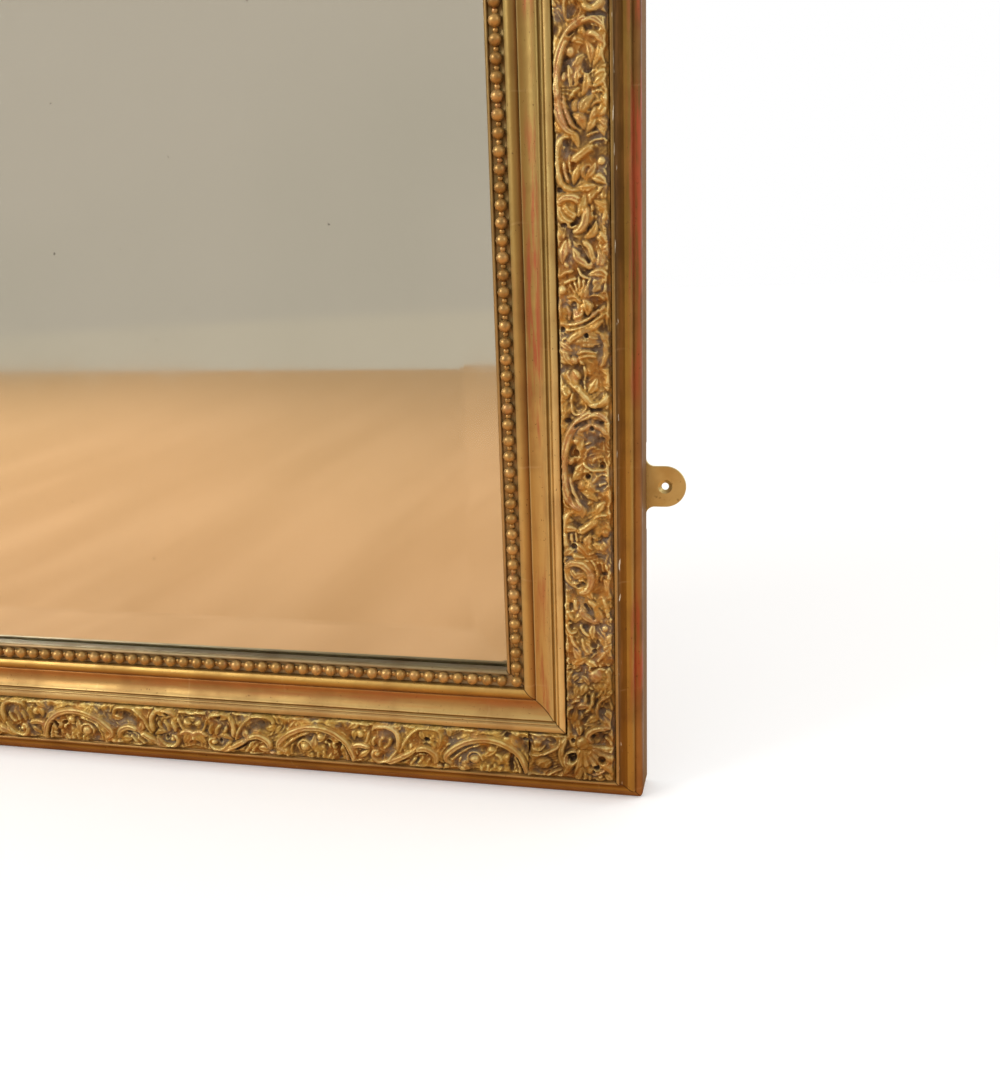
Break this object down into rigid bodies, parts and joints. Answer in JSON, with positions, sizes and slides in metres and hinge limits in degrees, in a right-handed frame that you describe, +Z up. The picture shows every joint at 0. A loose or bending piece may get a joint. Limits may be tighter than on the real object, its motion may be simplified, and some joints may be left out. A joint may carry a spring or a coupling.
{
  "type": "pier mirror",
  "caption": "Tall wall mirror with a bevelled plate in a deep gilt moulded frame with pearl beading, scroll ornament and brass ears for wall screws.",
  "frame": {"origin": "on the wall plane, in the middle of the bottom rail's back", "axes": "+Z up along the height, +Y into the wall, so the front faces -Y; +X to the right as seen from the front"},
  "size_m": [0.751, 0.0497, 1.301],
  "materials": {
    "pine": "old planed pine, toned brown",
    "gilding": "water gilding, worn to the red bole in places, on pine and gesso",
    "rubbed_gilding": "oil gilding, rubbed on the edges, on pine and gesso",
    "pearl_gilding": "dark toned gilding over composition",
    "ornament_gilding": "gilding over composition, bright on the high parts, dusty in the recesses",
    "glass": "clear plate, bevelled",
    "silvering": "silver, with red-brown backing paint behind",
    "brass": "satin brass",
    "screw_steel": "bright steel, dulled"
  },
  "bodies": {
    "root": {"carcass_bottom": "pine", "inner_moulding_bottom": "gilding", "outer_moulding_bottom": "rubbed_gilding", "pearls_bottom": "pearl_gilding", "frieze_ornament_bottom": "ornament_gilding", "corner_ornament_bottom_right": "ornament_gilding", "glazing_block_bottom_1": "pine", "glazing_block_bottom_2": "pine", "carcass_right": "pine", "inner_moulding_right": "gilding", "outer_moulding_right": "rubbed_gilding", "pearls_right": "pearl_gilding", "frieze_ornament_right": "ornament_gilding", "corner_ornament_top_right": "ornament_gilding", "glazing_block_right_1": "pine", "glazing_block_right_2": "pine", "glazing_block_right_3": "pine", "mirror_plate_lower_right": "brass", "plate_screw_lower_right_a": "screw_steel", "plate_screw_lower_right_b": "screw_steel", "mirror_plate_upper_right": "brass", "plate_screw_upper_right_a": "screw_steel", "plate_screw_upper_right_b": "screw_steel", "carcass_top": "pine", "inner_moulding_top": "gilding", "outer_moulding_top": "rubbed_gilding", "pearls_top": "pearl_gilding", "frieze_ornament_top": "ornament_gilding", "corner_ornament_top_left": "ornament_gilding", "glazing_block_top_1": "pine", "glazing_block_top_2": "pine", "carcass_left": "pine", "inner_moulding_left": "gilding", "outer_moulding_left": "rubbed_gilding", "pearls_left": "pearl_gilding", "frieze_ornament_left": "ornament_gilding", "corner_ornament_bottom_left": "ornament_gilding", "glazing_block_left_1": "pine", "glazing_block_left_2": "pine", "glazing_block_left_3": "pine", "mirror_plate_upper_left": "brass", "plate_screw_upper_left_a": "screw_steel", "plate_screw_upper_left_b": "screw_steel", "mirror_plate_lower_left": "brass", "plate_screw_lower_left_a": "screw_steel", "plate_screw_lower_left_b": "screw_steel", "mirror_glass": "glass", "silvering": "silvering", "backboard_1": "pine", "backboard_2": "pine", "backboard_3": "pine", "backboard_4": "pine", "backboard_5": "pine"}
  },
  "joints": []
}
